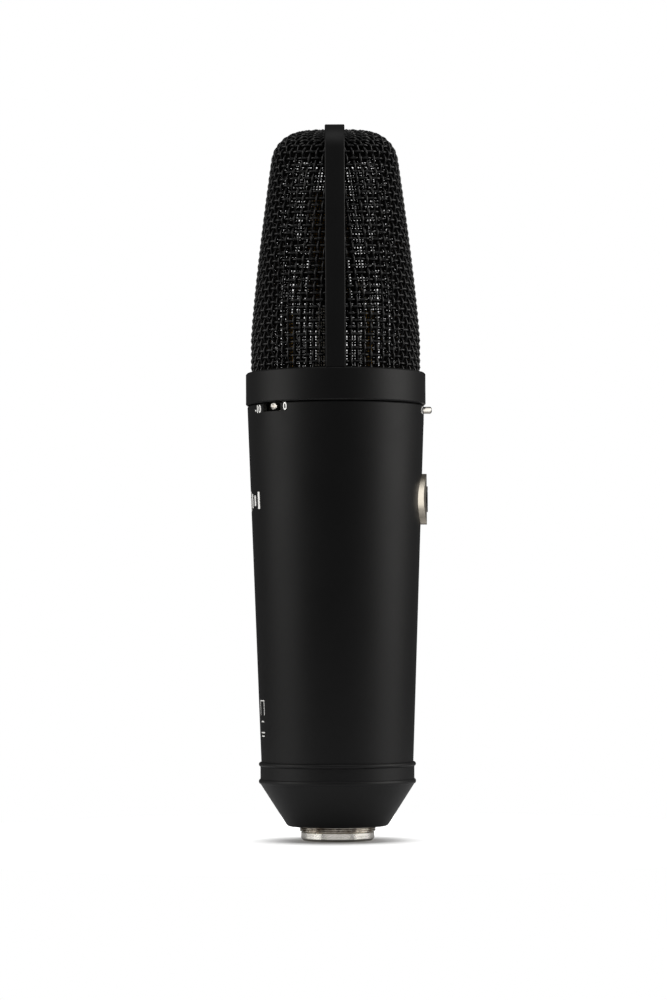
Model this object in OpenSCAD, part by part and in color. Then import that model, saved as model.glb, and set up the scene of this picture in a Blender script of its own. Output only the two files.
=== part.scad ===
// Side-address studio condenser microphone, built as it comes apart on a bench.
// +Z is up. The origin is the centre of the foot's lower face. The front faces -Y.
// The strap and the joint between the mesh halves lie in the XZ plane.

/* [Foot] */
// Diameter of the plain ring at the very bottom
pilot_d = 22.7; // [22:0.1:23.2]
// Height of the plain ring
pilot_h = 2.9; // [2.5:0.1:3.5]
// Width and height of the bevel round the foot's lower edge
foot_bevel = 0.8; // [0.4:0.1:1]
// Outside diameter of the stand thread
thread_d = 23.6; // [23.4:0.1:24.4]
// Distance from one thread ridge to the next
thread_pitch = 0.53; // [0.4:0.01:0.8]

/* [End bell] */
// Height of the bell's lower edge above the foot
bell_z = 4.5; // [4.2:0.1:5]
// Diameter of the bell at its lower edge
bell_low_d = 31; // [30.8:0.1:33]
// Diameter of the bell under its bead
bell_high_d = 48.4; // [48:0.1:49]
// Height of the bell's bead above the foot
bell_bead_z = 17.6; // [17:0.1:18]

/* [Beads and band] */
// Height of one bead
bead_h = 1.5; // [1.2:0.1:1.8]
// Diameter of the beads
bead_d = 48.8; // [48.6:0.1:49.4]
// Height of the plain band between the beads
band_h = 3.8; // [3:0.1:4.5]
// Diameter of the band
band_d = 47.8; // [47.4:0.1:48.2]

/* [Body tube] */
// Diameter of the tube just above its bead
tube_low_d = 47.2; // [46.8:0.1:47.6]
// Diameter of the tube at its top
tube_high_d = 55.1; // [54.6:0.1:55.4]
// Height of the tube's top edge above the foot
tube_top_z = 134.8; // [134:0.1:134.8]
// Thickness of the tube's wall
tube_wall = 1.6; // [1.2:0.1:1.8]

/* [Head] */
// Diameter of the collar under the mesh
collar_d = 56; // [55.6:0.1:57]
// Height of the collar
collar_h = 10; // [9:0.5:11]
// Diameter of the mesh where it enters the collar
mesh_d = 53; // [52.6:0.1:53.2]
// Height of the mesh's flat top above the foot
mesh_top_z = 219.6; // [210:0.1:225]
// Height at which the mesh starts to narrow
mesh_taper_z = 155; // [150:1:160]
// How much the front and the rear of the mesh draw in on their way to the top corner
mesh_draw_depth = 6.7; // [5:0.1:8]
// How much the two sides of the mesh draw in
mesh_draw_width = 4; // [2:0.1:5]
// Radius of the mesh's top corner
mesh_corner_r = 7.9; // [6:0.1:11]
// How square the mesh's section is at the top, where 2 is an ellipse
mesh_square = 3.4; // [2:0.1:5]
// Width of the strap
strap_w = 6.1; // [5:0.1:7]
// How far the strap stands out from the mesh
strap_t = 1.3; // [1:0.1:1.6]

/* [Capsule] */
// Diameter of the capsule
capsule_d = 34; // [30:0.5:36]
// Height of the capsule's centre above the foot
capsule_z = 185; // [182:0.5:188]
// Distance of the capsule's middle behind the microphone's axis
capsule_y = 2; // [0:0.5:3]
// Thickness of one backplate
backplate_t = 4; // [3:0.1:4.5]

/* [Switches] */
// Height of the levers above the foot
lever_z = 133.45; // [133.3:0.05:133.6]
// Diameter of a lever
lever_d = 2.2; // [2:0.1:2.4]
// Distance from the microphone's axis to the end of a lever
lever_reach = 30; // [29:0.1:31]
// Distance from the microphone's axis to a lever's pivot
lever_pivot_r = 22.4; // [22.2:0.1:22.6]
// Angle between a lever's middle and its end position
lever_swing = 22; // [15:1:22]
// Angle of the rear switches from the middle of the back
rear_switch_angle = 44; // [40:1:50]
// Width of the notch that a lever moves in
notch_w = 7.1; // [7:0.1:7.6]

/* [Badge] */
// Diameter of the badge
badge_d = 15.8; // [14:0.1:18]
// Height of the badge's centre above the foot
badge_z = 105.7; // [95:0.1:115]
// How far the badge stands out from the tube
badge_t = 1.7; // [1.2:0.1:2]

/* [XLR inlet] */
// Bore of the inlet's shell
xlr_bore_d = 16.2; // [16.1:0.05:16.3]
// Outside diameter of the inlet's shell
xlr_shell_d = 19; // [18.8:0.1:19]
// Diameter of a contact pin
xlr_pin_d = 2.4; // [2.35:0.05:2.45]
// Diameter of the circle through the three pins
xlr_pin_circle_d = 9.5; // [9.4:0.1:9.6]

/* [Hidden] */

$fn = 64;
eps = 0.01;            // overreach of a cutter past the face it cuts
soft = 0.4;            // small chamfer on a turned edge
gap = 0.05;            // clearance between two round pieces that fit into each other

// Heights that follow from the stack of outer pieces
band_z = bell_bead_z + bead_h;
tube_bead_z = band_z + band_h;
tube_z = tube_bead_z + bead_h;
collar_z = 135;
flange_t = 2.5;        // the collar's inner flange, which carries the head
flange_r = 20;
base_plate_t = 2.5;
base_plate_z = collar_z + flange_t;
mesh_z = base_plate_z + base_plate_t;
collar_top_z = collar_z + collar_h;
collar_r = collar_d / 2;
collar_bore_r = mesh_d / 2 + 0.2;

// Body
thread_r = thread_d / 2;
pilot_r = pilot_d / 2;
bell_wall = 2.2;
bell_floor_t = 3;
barrel_r = 11;         // the foot's barrel above its thread, where it passes the bell's floor
barrel_top_z = 20;
foot_flange_r = 15;
foot_flange_t = 1.6;
spigot_r = 21.4;       // the chassis ring's register in the bell and in the tube
spigot_h = 3;
chassis_bore_r = 20.2;  // room for the wires
plate_t = 1.6;
lower_plate_z = tube_bead_z + spigot_h + 0.6;
rail_z = lower_plate_z + plate_t;
top_plate_z = 126.5;
top_plate_t = 3;
switch_z = top_plate_z + top_plate_t;
rail_x = 17.75;
rail_w = 10;
rail_t = 2.5;
board_y = 7.4;         // inner face of both boards
board_t = 1.6;
board_half_w = 19.5;
main_board_z = [48, 122];
filter_board_z = [86, 122];
standoff_r = 1.25;
wire_hole_y = 17.5;    // the hole for the wires in the plates
wire_hole_r = 2.4;

// Transformer, standing on its bracket
bracket_t = 1;
core_w = 28;
core_h = 22;
core_stack = 12;
core_limb = 4.5;
core_z = rail_z + bracket_t;
coil_half_d = core_stack / 2 + 3.5;

// Head shape
taper_power = 1.23;    // the sides of the mesh start to lean gently and steepen towards the top
mesh_t = 0.9;
inner_mesh_gap = 0.8;
inner_mesh_t = 0.5;
mesh_split = 0.1;      // half of the space between the front and the rear half
hoop_w = 3.4;
slices = 10;           // levels that the mesh's form is built from, up to its corner
corner_slices = 6;
half_sides = 24;

// Capsule
capsule_r = capsule_d / 2;
spacer_t = 0.8;
diaphragm_t = 0.15;
clamp_t = 1.2;
clamp_w = 3.5;
backplate_y = spacer_t / 2;
diaphragm_y = backplate_y + backplate_t;
clamp_y = diaphragm_y + diaphragm_t;
capsule_face_y = clamp_y + clamp_t;
capsule_screw_count = 12;
saddle_wall = 2.4;
saddle_t = 6;
saddle_angle = 52;
post_r = 4;
post_z = 145.5;
post_top_z = capsule_z - capsule_r - saddle_wall;
terminal_places = [[-5, -10.6], [5, -10.6], [0, 14]];
terminal_top_z = 164;
terminal_end_y = diaphragm_y + clamp_t + 0.8;

// Screw heads shared by the whole object: [head radius, head height, shank radius, shank length]
small_screw = [1.5, 1.0, 0.8, 3];
tiny_screw = [0.85, 0.5, 0.5, 1.4];

nickel = "#d8d2c4";
black_paint = "#1d1d1f";
brass = "#c09a48";
gold = "#d9b45a";
steel = "#b8bcc0";
aluminium = "#b4b7ba";
black_plastic = "#232326";
board_green = "#2f5d3a";

// ---- shared shapes -------------------------------------------------------------------------

// Radius of the body tube's outer face at height z
function tube_r(z) =
    tube_low_d / 2 + (tube_high_d - tube_low_d) / 2 * (z - tube_z) / (tube_top_z - tube_z);

// Half a circle's points, for a bead that bulges from r_in to r_out between two heights
function bead_points(r_in, r_out, z, h, n = 8) =
    [for (i = [0:n]) let (a = 180 * i / n - 90)
        [r_in + (r_out - r_in) * cos(a), z + h / 2 + h / 2 * sin(a)]];

module turned(points) {
    rotate_extrude($fn = 128) polygon(points);
}

module ring(r_out, r_in, z, h) {
    translate([0, 0, z]) difference() {
        cylinder(r = r_out, h = h);
        translate([0, 0, -eps]) cylinder(r = r_in, h = h + 2 * eps);
    }
}

// A slotted cheese-head screw with its head's seat at the origin and its shank going down
module screw(size) {
    difference() {
        union() {
            cylinder(r = size[0], h = size[1]);
            translate([0, 0, -size[3]]) cylinder(r = size[2], h = size[3] + eps);
        }
        translate([-size[0] - eps, -size[0] * 0.15, size[1] * 0.55])
            cube([2 * size[0] + 2 * eps, size[0] * 0.3, size[1]]);
    }
}

// A straight round bar between two points
module bar(from, to, r) {
    way = to - from;
    tilt = acos(way[2] / norm(way));
    turn = atan2(way[1], way[0]);
    translate(from) rotate([0, tilt, turn]) cylinder(r = r, h = norm(way));
}

// Direction of a path at its point i, halfway between the stretches that meet there
function heading(path, i) =
    let (v = path[min(i + 1, len(path) - 1)] - path[max(i - 1, 0)]) v / norm(v);

// An insulated wire along a list of points, none of whose stretches runs along X
module wire(path, r, sides = 8) {
    rings = [for (i = [0:len(path) - 1]) let (
        t = heading(path, i),
        across = cross(t, [1, 0, 0]),
        n = across / norm(across),
        b = cross(t, n))
        each [for (k = [0:sides - 1]) let (a = 360 * k / sides) path[i] + r * (cos(a) * n + sin(a) * b)]];
    last = (len(path) - 1) * sides;
    polyhedron(rings, concat(
        [[for (k = [0:sides - 1]) k], [for (k = [sides - 1:-1:0]) last + k]],
        [for (i = [0:len(path) - 2], k = [0:sides - 1]) let (
            here = i * sides + k, next = i * sides + (k + 1) % sides)
            each [[next + sides, next, here], [here + sides, next + sides, here]]]));
}

// ---- foot and inlet ------------------------------------------------------------------------

module threaded_foot() {
    ridges = floor((bell_z - pilot_h) / thread_pitch);
    thread_points = [for (i = [0:ridges - 1]) each [
        [thread_r - 0.35, pilot_h + i * thread_pitch],
        [thread_r, pilot_h + (i + 0.35) * thread_pitch],
        [thread_r, pilot_h + (i + 0.65) * thread_pitch],
    ]];
    floor_top_z = bell_z + bell_floor_t;
    color(nickel) difference() {
        turned(concat(
            [[0, 0], [pilot_r - foot_bevel, 0], [pilot_r, foot_bevel], [pilot_r, pilot_h - soft],
             [pilot_r - soft, pilot_h]],
            thread_points,
            [[thread_r - 0.35, bell_z], [barrel_r, bell_z], [barrel_r, floor_top_z],
             [foot_flange_r, floor_top_z], [foot_flange_r, floor_top_z + foot_flange_t],
             [barrel_r, floor_top_z + foot_flange_t], [barrel_r, barrel_top_z], [0, barrel_top_z]]));
        translate([0, 0, -eps]) cylinder(r = xlr_shell_d / 2 + gap, h = barrel_top_z + 2 * eps);
        foot_screw_places() cylinder(r = small_screw[2] + gap, h = 3 * foot_flange_t, center = true);
    }
}

module foot_screw_places() {
    for (a = [90, 210, 330])
        rotate(a) translate([13, 0, bell_z + bell_floor_t + foot_flange_t]) children();
}

module foot_screws() {
    color(steel) foot_screw_places() screw(small_screw);
}

xlr_shell_z = 0.6;
xlr_insert_z = 15;
xlr_insert_t = 5;
xlr_tail_z = xlr_insert_z + xlr_insert_t;
xlr_tail_h = 3.5;
xlr_pin_tip_z = 3;
xlr_notch = [4.4, 3];

module xlr_shell() {
    color(nickel) difference() {
        ring(xlr_shell_d / 2, xlr_bore_d / 2, xlr_shell_z, barrel_top_z - xlr_shell_z);
        translate([-xlr_notch[0] / 2, -xlr_shell_d, xlr_shell_z - eps])
            cube([xlr_notch[0], xlr_shell_d, xlr_notch[1]]);
    }
}

// The three contacts stand at a right angle to each other round the inlet's centre
module xlr_pin_places() {
    for (a = [0, 90, 180]) rotate(a) translate([xlr_pin_circle_d / 2, 0, 0]) children();
}

module xlr_insert() {
    color(black_plastic) translate([0, 0, xlr_insert_z]) difference() {
        cylinder(r = xlr_bore_d / 2 - gap, h = xlr_insert_t);
        translate([0, 0, -eps]) xlr_pin_places() cylinder(r = xlr_pin_d / 2 - 0.1, h = xlr_insert_t + 1);
    }
}

// Each pin has a thinner neck through the insulator, a collar that rests on it, and a solder tail
module xlr_pins() {
    r = xlr_pin_d / 2;
    neck_r = r - 0.15;
    neck_z = xlr_insert_z - 0.3;
    color(gold) xlr_pin_places() rotate_extrude($fn = 48) polygon(concat(
        [for (a = [0:15:90]) [r * sin(a), xlr_pin_tip_z + r - r * cos(a)]],
        [[r, neck_z], [neck_r, neck_z], [neck_r, xlr_tail_z], [r + 0.5, xlr_tail_z],
         [r + 0.5, xlr_tail_z + 0.6], [neck_r, xlr_tail_z + 0.6],
         [neck_r, xlr_tail_z + xlr_tail_h], [0, xlr_tail_z + xlr_tail_h]]));
}

// ---- outer body ----------------------------------------------------------------------------

module end_bell() {
    low_r = bell_low_d / 2;
    high_r = bell_high_d / 2;
    floor_top_z = bell_z + bell_floor_t;
    slope = (high_r - low_r) / (bell_bead_z - bell_z);
    color(black_paint) difference() {
        turned(concat(
            [[barrel_r + gap, bell_z], [low_r - 0.45, bell_z], [low_r - 0.08, bell_z + 0.14],
             [low_r + 0.45 * slope, bell_z + 0.45], [high_r - 0.3, bell_bead_z]],
            bead_points(high_r - 0.3, bead_d / 2, bell_bead_z, bead_h),
            [[spigot_r + gap, band_z], [spigot_r + gap, bell_bead_z - 2],
             [low_r - bell_wall + slope * bell_floor_t, floor_top_z], [barrel_r + gap, floor_top_z]]));
        foot_screw_places() cylinder(r = small_screw[2] + gap, h = 7, center = true);
    }
}

module chassis_ring() {
    color(black_paint) turned([
        [chassis_bore_r, band_z - spigot_h], [spigot_r, band_z - spigot_h], [spigot_r, band_z],
        [band_d / 2, band_z], [band_d / 2, tube_bead_z], [spigot_r, tube_bead_z],
        [spigot_r, lower_plate_z], [chassis_bore_r, lower_plate_z]]);
}

// The three notches at the tube's top edge, each where a switch stands
switch_angles = [-90, 90 + rear_switch_angle, 90 - rear_switch_angle];
notch_z = lever_z - lever_d / 2 - 0.25;

module notches() {
    bevel = 0.45;
    for (a = switch_angles) rotate(a) {
        translate([tube_high_d / 2 - 5, -notch_w / 2, notch_z]) cube([9, notch_w, collar_z - notch_z]);
        // bevelled side edges
        translate([0, 0, notch_z]) linear_extrude(collar_z - notch_z) for (s = [-1, 1])
            polygon([[tube_high_d / 2 - 1, s * (notch_w / 2 - eps)],
                     [tube_high_d / 2 - 1, s * notch_w / 2],
                     [tube_high_d / 2 + 1, s * (notch_w / 2 + 2 * bevel)],
                     [tube_high_d / 2 + 1, s * (notch_w / 2 - eps)]]);
    }
}

module body_tube() {
    low_r = tube_low_d / 2;
    high_r = tube_high_d / 2;
    color(black_paint) difference() {
        turned(concat(
            [[spigot_r + gap, tube_bead_z]],
            bead_points(low_r, bead_d / 2, tube_bead_z, bead_h),
            [[low_r, tube_z], [high_r - 0.02, tube_top_z - soft], [high_r - soft, tube_top_z],
             [high_r - tube_wall, tube_top_z], [low_r - tube_wall, tube_z],
             [spigot_r + gap, tube_z]]));
        notches();
    }
}

// Everything on the badge is cut to cylinders round the microphone's axis, so it follows the body
module curved_patch(r_in, r_out, z, d) {
    intersection() {
        translate([0, 0, z - d]) ring(r_out, r_in, 0, 2 * d);
        translate([0, -r_in + 5, z]) rotate([90, 0, 0]) children();
    }
}

badge_in_r = tube_r(badge_z) - 0.35;
badge_out_r = tube_r(badge_z) + badge_t;
emblem_t = 0.3;
emblem_d = 8;
bar_w = 1.1;

module badge() {
    color(nickel) difference() {
        curved_patch(badge_in_r, badge_out_r, badge_z, badge_d) cylinder(d = badge_d, h = 30);
        tapered_body();
    }
}

// The tube's outside as a solid, so the badge's back lies on it
module tapered_body() {
    turned([[0, tube_z], [tube_low_d / 2, tube_z], [tube_high_d / 2 - 0.02, tube_top_z - soft],
            [0, tube_top_z - soft]]);
}

// A plain ring round three level bars
module badge_emblem() {
    color(black_plastic) curved_patch(badge_out_r, badge_out_r + emblem_t, badge_z, badge_d) {
        difference() {
            cylinder(d = emblem_d, h = 30);
            translate([0, 0, -eps]) cylinder(d = emblem_d - 1.6, h = 30 + 2 * eps);
        }
        for (i = [-1, 0, 1]) let (tall = i == 0 ? 4.4 : 2.6)
            translate([i * 1.7 - bar_w / 2, -tall / 2, 0]) cube([bar_w, tall, 30]);
    }
}

// ---- switches ------------------------------------------------------------------------------

switch_depth = [15.5, 25];
switch_half_w = 4.6;
pivot_pin_r = 0.6;
lever_hub_r = 1.55;
lever_hub_h = 2;
pocket_half_w = 3.3;
pocket_z = notch_z + 0.05;
pocket_top_z = collar_z - 0.3;

// One switch body, drawn with its lever towards +X
module switch_body() {
    color(black_plastic) {
        difference() {
            translate([switch_depth[0], -switch_half_w, switch_z])
                cube([switch_depth[1] - switch_depth[0], 2 * switch_half_w, collar_z - switch_z]);
            translate([lever_pivot_r - lever_hub_r - 0.5, -pocket_half_w, pocket_z])
                cube([10, 2 * pocket_half_w, pocket_top_z - pocket_z]);
        }
        translate([lever_pivot_r, 0, pocket_z - 0.5])
            cylinder(r = pivot_pin_r, h = pocket_top_z - pocket_z + 0.6);
    }
}

// One lever, drawn towards +X in its middle position
module lever() {
    r = lever_d / 2;
    neck_r = r - 0.25;
    reach = lever_reach - lever_pivot_r;
    color(nickel) translate([lever_pivot_r, 0, lever_z]) difference() {
        union() {
            translate([0, 0, -lever_hub_h / 2]) cylinder(r = lever_hub_r, h = lever_hub_h);
            rotate([0, 90, 0]) rotate_extrude($fn = 48) polygon(concat(
                [[0, 0], [neck_r, 0], [neck_r, 2.4], [r, 2.7], [r, reach - 0.7]],
                [for (a = [15:15:60]) [r * cos(a), reach - 0.7 + 0.7 * sin(a)]],
                [[0, reach - 0.5]]));
        }
        cylinder(r = pivot_pin_r + gap, h = lever_hub_h + 1, center = true);
    }
}

// Turns a lever about its own pivot
module swung(angle) {
    translate([lever_pivot_r, 0, 0]) rotate(angle) translate([-lever_pivot_r, 0, 0]) children();
}

// A thin curved plate that closes the notch round the lever's sweep
module bezel() {
    r_out = tube_r(lever_z) - tube_wall - 0.12;
    window_w = 6;
    color(nickel) intersection() {
        difference() {
            ring(r_out, r_out - 0.4, pocket_z - 1.4, collar_z - pocket_z + 1.4);
            translate([0, -window_w / 2, pocket_z + 0.1])
                cube([30, window_w, lever_d + 0.4]);
        }
        translate([switch_depth[1] - 0.6, -notch_w / 2 - 0.6, 0]) cube([5, notch_w + 1.2, collar_z]);
    }
}

module pattern_switch() { rotate(switch_angles[0]) switch_body(); }
module pad_switch() { rotate(switch_angles[1]) switch_body(); }
module filter_switch() { rotate(switch_angles[2]) switch_body(); }
module pattern_lever() { rotate(switch_angles[0]) lever(); }
module pad_lever() { rotate(switch_angles[1]) swung(lever_swing) lever(); }
module filter_lever() { rotate(switch_angles[2]) swung(-lever_swing) lever(); }
module switch_bezels() { for (a = switch_angles) rotate(a) bezel(); }

// ---- chassis -------------------------------------------------------------------------------

module lower_plate() {
    color(aluminium) difference() {
        translate([0, 0, lower_plate_z]) cylinder(r = spigot_r, h = plate_t);
        translate([0, wire_hole_y, lower_plate_z - eps]) cylinder(r = wire_hole_r, h = plate_t + 2 * eps);
    }
}

module rail() {
    color(aluminium) translate([rail_x - rail_t / 2, -rail_w / 2, rail_z])
        cube([rail_t, rail_w, top_plate_z - rail_z]);
}

module rail_right() { rail(); }
module rail_left() { mirror([1, 0, 0]) rail(); }

module top_plate() {
    color(aluminium) difference() {
        translate([0, 0, top_plate_z]) cylinder(r = tube_r(top_plate_z) - tube_wall - 0.15, h = top_plate_t);
        translate([0, 0, top_plate_z - eps]) cylinder(r = 6, h = top_plate_t + 2 * eps);
    }
}

chassis_screw_y = 3;

// Screws through the top plate into the rails
module chassis_screws() {
    color(steel) for (x = [-rail_x, rail_x], y = [-chassis_screw_y, chassis_screw_y])
        translate([x, y, switch_z]) cylinder(r = small_screw[0], h = small_screw[1]);
}

module main_board() {
    color(board_green) translate([-board_half_w, -board_y - board_t, main_board_z[0]])
        cube([2 * board_half_w, board_t, main_board_z[1] - main_board_z[0]]);
}

module filter_board() {
    color(board_green) translate([-board_half_w, board_y, filter_board_z[0]])
        cube([2 * board_half_w, board_t, filter_board_z[1] - filter_board_z[0]]);
}

// Where the boards are held: [x, z, side]
board_fixings = concat(
    [for (x = [-rail_x, rail_x], z = [main_board_z[0] + 6, main_board_z[1] - 6]) [x, z, -1]],
    [for (x = [-rail_x, rail_x], z = [filter_board_z[0] + 6, filter_board_z[1] - 6]) [x, z, 1]]);

module board_standoffs() {
    color(brass) for (f = board_fixings) translate([f[0], f[2] * rail_w / 2, f[1]])
        rotate([-90 * f[2], 0, 0]) cylinder(r = standoff_r, h = board_y - rail_w / 2);
}

module board_screws() {
    color(steel) for (f = board_fixings) translate([f[0], f[2] * (board_y + board_t), f[1]])
        rotate([-90 * f[2], 0, 0]) cylinder(r = small_screw[0], h = small_screw[1]);
}

// Parts soldered to the inner face of the main board, which faces +Y
part_y = -board_y;

module film_capacitors() {
    color("#a83a2c") {
        for (z = [98, 108]) translate([-13, part_y, z]) cube([12, 6, 7.5]);
        translate([2, part_y, 60]) cube([11, 7, 14]);
    }
}

module electrolytic_capacitors() {
    color("#3a4a78") for (x = [-8, 2]) translate([x, part_y + 4, 78]) difference() {
        cylinder(r = 4, h = 13);
        translate([0, 0, 11.2]) ring(4.2, 3.75, 0, 0.6);
    }
}

module resistors() {
    color("#c8a878") for (i = [0:5]) translate([4 + 2.1 * i - 4, part_y + 1.1, 96]) {
        cylinder(r = 0.9, h = 5.5);
        translate([0, 0, -1.6]) cylinder(r = 0.3, h = 8.7);
        for (z = [-1.6, 7.1]) translate([0, -1.1, z]) rotate([-90, 0, 0]) cylinder(r = 0.3, h = 1.1);
    }
}

module input_transistor() {
    color(steel) translate([9, part_y, 113]) rotate([-90, 0, 0]) {
        cylinder(r = 2.9, h = 0.6);
        cylinder(r = 2.4, h = 4.6);
    }
}

// ---- output transformer --------------------------------------------------------------------

module transformer_core() {
    window_w = (core_w - 2 * core_limb - 2 * core_limb) / 2;
    color("#6c6e72") difference() {
        translate([-core_w / 2, -core_stack / 2, core_z]) cube([core_w, core_stack, core_h]);
        for (x = [-core_limb - window_w, core_limb]) translate([x, -core_stack, core_z + core_limb])
            cube([window_w, 2 * core_stack, core_h - 2 * core_limb]);
    }
}

module transformer_coil() {
    w = core_w / 2 - core_limb - gap;
    color("#b06a3a") difference() {
        translate([-w, -coil_half_d, core_z + core_limb + gap])
            cube([2 * w, 2 * coil_half_d, core_h - 2 * core_limb - 2 * gap]);
        translate([-core_limb - gap, -core_stack / 2 - gap, core_z])
            cube([2 * core_limb + 2 * gap, core_stack + 2 * gap, core_h]);
    }
}

module transformer_bracket() {
    color(steel) {
        translate([-core_w / 2, -coil_half_d, rail_z]) cube([core_w, 2 * coil_half_d, bracket_t]);
        for (s = [0, 1]) mirror([0, s, 0]) for (x = [-core_w / 2, core_w / 2 - 3])
            translate([x, core_stack / 2 + 0.1, rail_z]) cube([3, 1, core_h - 4]);
    }
}

// Three wires from the inlet's tails to the transformer, through the hole in the lower plate
module output_wires() {
    pin_circle_r = xlr_pin_circle_d / 2;
    color("#d8d8d0") for (i = [0:2]) {
        tail = [pin_circle_r * cos(90 * i), pin_circle_r * sin(90 * i), xlr_tail_z + xlr_tail_h];
        x = (1 - i) * 1.4;
        wire([tail, tail + [0, 0, 0.8], [x, wire_hole_y, lower_plate_z - 1],
              [x, wire_hole_y, rail_z + 4 + i], [x, coil_half_d + 0.6, core_z + 8 + i]], 0.5);
    }
}

// ---- head ----------------------------------------------------------------------------------

module head_collar() {
    color(black_paint) turned([
        [flange_r, collar_z], [collar_r - soft, collar_z], [collar_r, collar_z + soft],
        [collar_r, collar_top_z - soft], [collar_r - soft, collar_top_z],
        [collar_bore_r, collar_top_z], [collar_bore_r, base_plate_z], [flange_r, base_plate_z]]);
}

module head_base_plate() {
    color(black_plastic) difference() {
        translate([0, 0, base_plate_z]) cylinder(r = collar_bore_r - gap, h = base_plate_t);
        translate([0, wire_hole_y, base_plate_z - eps]) cylinder(r = wire_hole_r, h = base_plate_t + 2 * eps);
        head_screw_places() cylinder(r = small_screw[2] + gap, h = 4 * base_plate_t, center = true);
    }
}

module head_screw_places() {
    for (a = [30, 150, 270]) rotate(a) translate([22, 0, mesh_z]) children();
}

module head_screws() {
    color(steel) head_screw_places() screw([small_screw[0], small_screw[1], small_screw[2], base_plate_t]);
}

// The capsule and what carries it stand a little behind the axis
module with_capsule() {
    translate([0, capsule_y, 0]) children();
}

module capsule_isolator() {
    color("#2a2a2a") with_capsule() turned([
        [0, mesh_z], [8.5, mesh_z], [8.5, mesh_z + 1.2], [6.6, mesh_z + 2.2],
        [6.6, mesh_z + 3.2], [8, mesh_z + 4.2], [8, post_z], [0, post_z]]);
}

module capsule_post() {
    color("#e8e4d8") with_capsule() turned([
        [0, post_z], [6.5, post_z], [6.5, post_z + 1.6], [post_r, post_z + 3],
        [post_r, post_top_z - 2], [post_r - 0.6, post_top_z - 1.4], [post_r - 0.6, post_top_z],
        [0, post_top_z]]);
}

// A cradle that holds the lower part of the capsule's rim, on a foot that the post screws into
module capsule_saddle() {
    color("#2c2c30") with_capsule() difference() {
        union() {
            intersection() {
                translate([0, saddle_t / 2, capsule_z]) rotate([90, 0, 0]) difference() {
                    cylinder(r = capsule_r + saddle_wall, h = saddle_t);
                    translate([0, 0, -eps]) cylinder(r = capsule_r + gap, h = saddle_t + 2 * eps);
                }
                translate([0, saddle_t, capsule_z]) rotate([90, 0, 0]) linear_extrude(2 * saddle_t)
                    polygon([[0, 0], [-capsule_d * tan(saddle_angle), -capsule_d],
                             [capsule_d * tan(saddle_angle), -capsule_d]]);
            }
            translate([-6, -saddle_t / 2, post_top_z]) cube([12, saddle_t, saddle_wall]);
        }
        // the underside is cut flat where the post meets it
        translate([-20, -20, post_top_z - 10]) cube([40, 40, 10]);
        // room for the capsule above the foot
        translate([0, saddle_t, capsule_z]) rotate([90, 0, 0])
            cylinder(r = capsule_r + gap, h = 2 * saddle_t);
    }
}

module saddle_screws() {
    side_a = saddle_angle - 8;
    color(steel) with_capsule() for (s = [-1, 1]) translate([0, 0, capsule_z])
        rotate([0, 180 - s * side_a, 0]) translate([0, 0, capsule_r + saddle_wall])
            cylinder(r = small_screw[0], h = small_screw[1]);
}

// Half of the capsule, from its middle outwards. side is -1 for the front and 1 for the rear.
module capsule_disc(side, y, t, r) {
    with_capsule() translate([0, side * y, capsule_z]) rotate([-90 * side, 0, 0])
        cylinder(r = r, h = t, $fn = 96);
}

module backplate(side) { color(brass) capsule_disc(side, backplate_y, backplate_t, capsule_r); }

module diaphragm(side) {
    color(gold) difference() {
        capsule_disc(side, diaphragm_y, diaphragm_t, capsule_r);
        capsule_disc(side, diaphragm_y - 1, 3, 1);
    }
}

module clamp_ring(side) {
    color(nickel) difference() {
        capsule_disc(side, clamp_y, clamp_t, capsule_r);
        capsule_disc(side, clamp_y - eps, clamp_t + 2 * eps, capsule_r - clamp_w);
    }
}

module backplate_front() { backplate(-1); }
module backplate_rear() { backplate(1); }
module diaphragm_front() { diaphragm(-1); }
module diaphragm_rear() { diaphragm(1); }
module clamp_ring_front() { clamp_ring(-1); }
module clamp_ring_rear() { clamp_ring(1); }

module capsule_spacer() {
    color("#e0ddd0") with_capsule() translate([0, backplate_y, capsule_z]) rotate([90, 0, 0])
        difference() {
            cylinder(r = capsule_r, h = spacer_t);
            translate([0, 0, -eps]) cylinder(r = capsule_r - 5, h = spacer_t + 2 * eps);
        }
}

module capsule_screws() {
    color(brass) with_capsule() for (side = [-1, 1], i = [0:capsule_screw_count - 1])
        rotate([0, 0, side > 0 ? 180 : 0]) translate([0, -capsule_face_y, capsule_z])
            rotate([90, 360 / capsule_screw_count * (i + 0.5), 0])
                translate([capsule_r - clamp_w / 2, 0, 0])
                    cylinder(r = tiny_screw[0], h = tiny_screw[1]);
}

module centre_terminals() {
    color(gold) for (side = [-1, 1]) {
        capsule_disc(side, diaphragm_y, terminal_end_y - diaphragm_y, 1 - gap);
        capsule_disc(side, clamp_y, clamp_t, 2);
    }
}

module lead_terminals() {
    tall = terminal_top_z - mesh_z;
    color(brass) for (p = terminal_places) translate([p[0], p[1], mesh_z]) turned([
        [0, 0], [2, 0], [2, 1.5], [0.9, 1.5], [0.9, tall - 2], [1.3, tall - 2], [1.3, tall], [0, tall]]);
}

// A lead from each face of the capsule down to a terminal
module capsule_leads() {
    color("#d6cfae") for (side = [-1, 1]) {
        face = capsule_y + side * terminal_end_y;
        foot = side < 0 ? terminal_places[1] : terminal_places[2];
        wire([[0, face + side * 0.15, capsule_z], [0.1 * foot[0], face + side * 1.2, capsule_z - 0.6],
              [0.5 * foot[0], face + side * 2, capsule_z - 9],
              [foot[0], foot[1], terminal_top_z + 2], [foot[0], foot[1], terminal_top_z]], 0.4);
    }
}

// ---- mesh ----------------------------------------------------------------------------------

// How far a side that draws in by draw at the top has come in at height z
function drawn(z, draw) = z <= mesh_taper_z ? 0 :
    draw * pow((z - mesh_taper_z) / (mesh_top_z - mesh_corner_r - mesh_taper_z), taper_power);

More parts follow.
